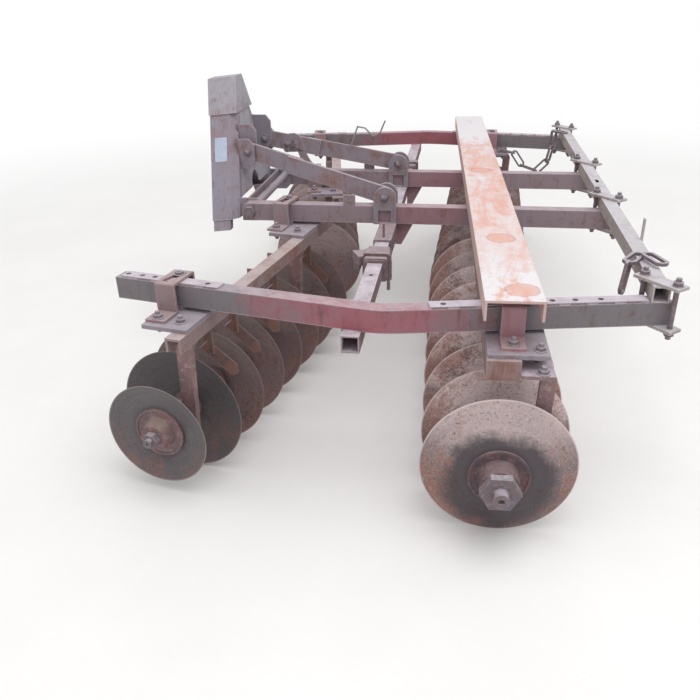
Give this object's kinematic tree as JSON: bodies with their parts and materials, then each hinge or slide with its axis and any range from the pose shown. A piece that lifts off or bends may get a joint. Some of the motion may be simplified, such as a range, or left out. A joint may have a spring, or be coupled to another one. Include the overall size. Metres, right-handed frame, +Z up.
{
  "type": "mounted tandem disc harrow",
  "caption": "Mounted disc harrow with gangs of concave discs turning on angled shafts under a box-beam frame, and a triangular coupling mast at the front.",
  "frame": {"origin": "on the ground under the middle of the machine's overall box", "axes": "+X to the rear, away from the tractor; +Y to the machine's right; +Z up"},
  "size_m": [1.9486, 3.6336, 1.2804],
  "materials": {
    "red_paint": "faded, chalky and rusting",
    "disc_steel": "weathered, rust over worn steel",
    "cast_iron": "rough, rusty",
    "bare_steel": "oxidised",
    "orange_primer": "matt primer, patchy",
    "worn_steel": "paint worn to pale steel"
  },
  "bodies": {
    "frame": {"ballast_channel": "orange_primer", "beam_strips_left": "worn_steel", "beam_strips_right": "worn_steel", "brace_left": "red_paint", "brace_lug_left": "red_paint", "brace_lug_right": "red_paint", "brace_pins_left": "bare_steel", "brace_pins_right": "bare_steel", "brace_right": "red_paint", "centre_tube": "red_paint", "cross_shaft": "bare_steel", "front_base_plates_left": "red_paint", "front_base_plates_right": "red_paint", "front_bearing_arms_left": "cast_iron", "front_bearing_arms_right": "cast_iron", "front_gang_beam_left": "red_paint", "front_gang_beam_right": "red_paint", "front_straps_left": "red_paint", "front_straps_right": "red_paint", "inner_beam_left": "red_paint", "inner_beam_right": "red_paint", "latch_wire": "bare_steel", "mast_clevis_left": "red_paint", "mast_clevis_right": "red_paint", "mast_foot_left": "red_paint", "mast_foot_right": "red_paint", "mast_head": "red_paint", "mast_leg_left": "red_paint", "mast_leg_right": "red_paint", "rear_base_plates_left": "red_paint", "rear_base_plates_right": "red_paint", "rear_bearing_arms_left": "cast_iron", "rear_bearing_arms_right": "cast_iron", "rear_clamp_bolts": "bare_steel", "rear_clamp_plates": "worn_steel", "rear_gang_beam_left": "red_paint", "rear_gang_beam_right": "red_paint", "rear_straps_left": "red_paint", "rear_straps_right": "red_paint", "rear_tube": "worn_steel", "side_beam_left": "red_paint", "side_beam_right": "red_paint", "tie_chain_left": "bare_steel", "tie_chain_right": "bare_steel", "tube_clamp_left": "cast_iron", "tube_clamp_right": "cast_iron"},
    "front_left_rotor": {"front_discs_left": "disc_steel", "front_shaft_left": "bare_steel", "front_spools_left": "cast_iron"},
    "front_right_rotor": {"front_discs_right": "disc_steel", "front_shaft_right": "bare_steel", "front_spools_right": "cast_iron"},
    "rear_left_rotor": {"rear_discs_left": "disc_steel", "rear_shaft_left": "bare_steel", "rear_spools_left": "cast_iron"},
    "rear_right_rotor": {"rear_discs_right": "disc_steel", "rear_shaft_right": "bare_steel", "rear_spools_right": "cast_iron"}
  },
  "joints": [
    {"name": "front_left_spin", "type": "hinge", "parent": "frame", "child": "front_left_rotor", "pos_m": [-0.75944, -1.55074, 0.244], "axis": [0.175, 0.9846, 0], "continuous": true},
    {"name": "front_right_spin", "type": "hinge", "parent": "frame", "child": "front_right_rotor", "pos_m": [-0.75944, 1.55074, 0.244], "axis": [0.175, -0.9846, 0], "continuous": true},
    {"name": "rear_left_spin", "type": "hinge", "parent": "frame", "child": "rear_left_rotor", "pos_m": [0.42867, -1.68405, 0.255], "axis": [-0.0307, 0.9995, 0], "continuous": true},
    {"name": "rear_right_spin", "type": "hinge", "parent": "frame", "child": "rear_right_rotor", "pos_m": [0.42867, 1.68405, 0.255], "axis": [-0.0307, -0.9995, 0], "continuous": true}
  ]
}
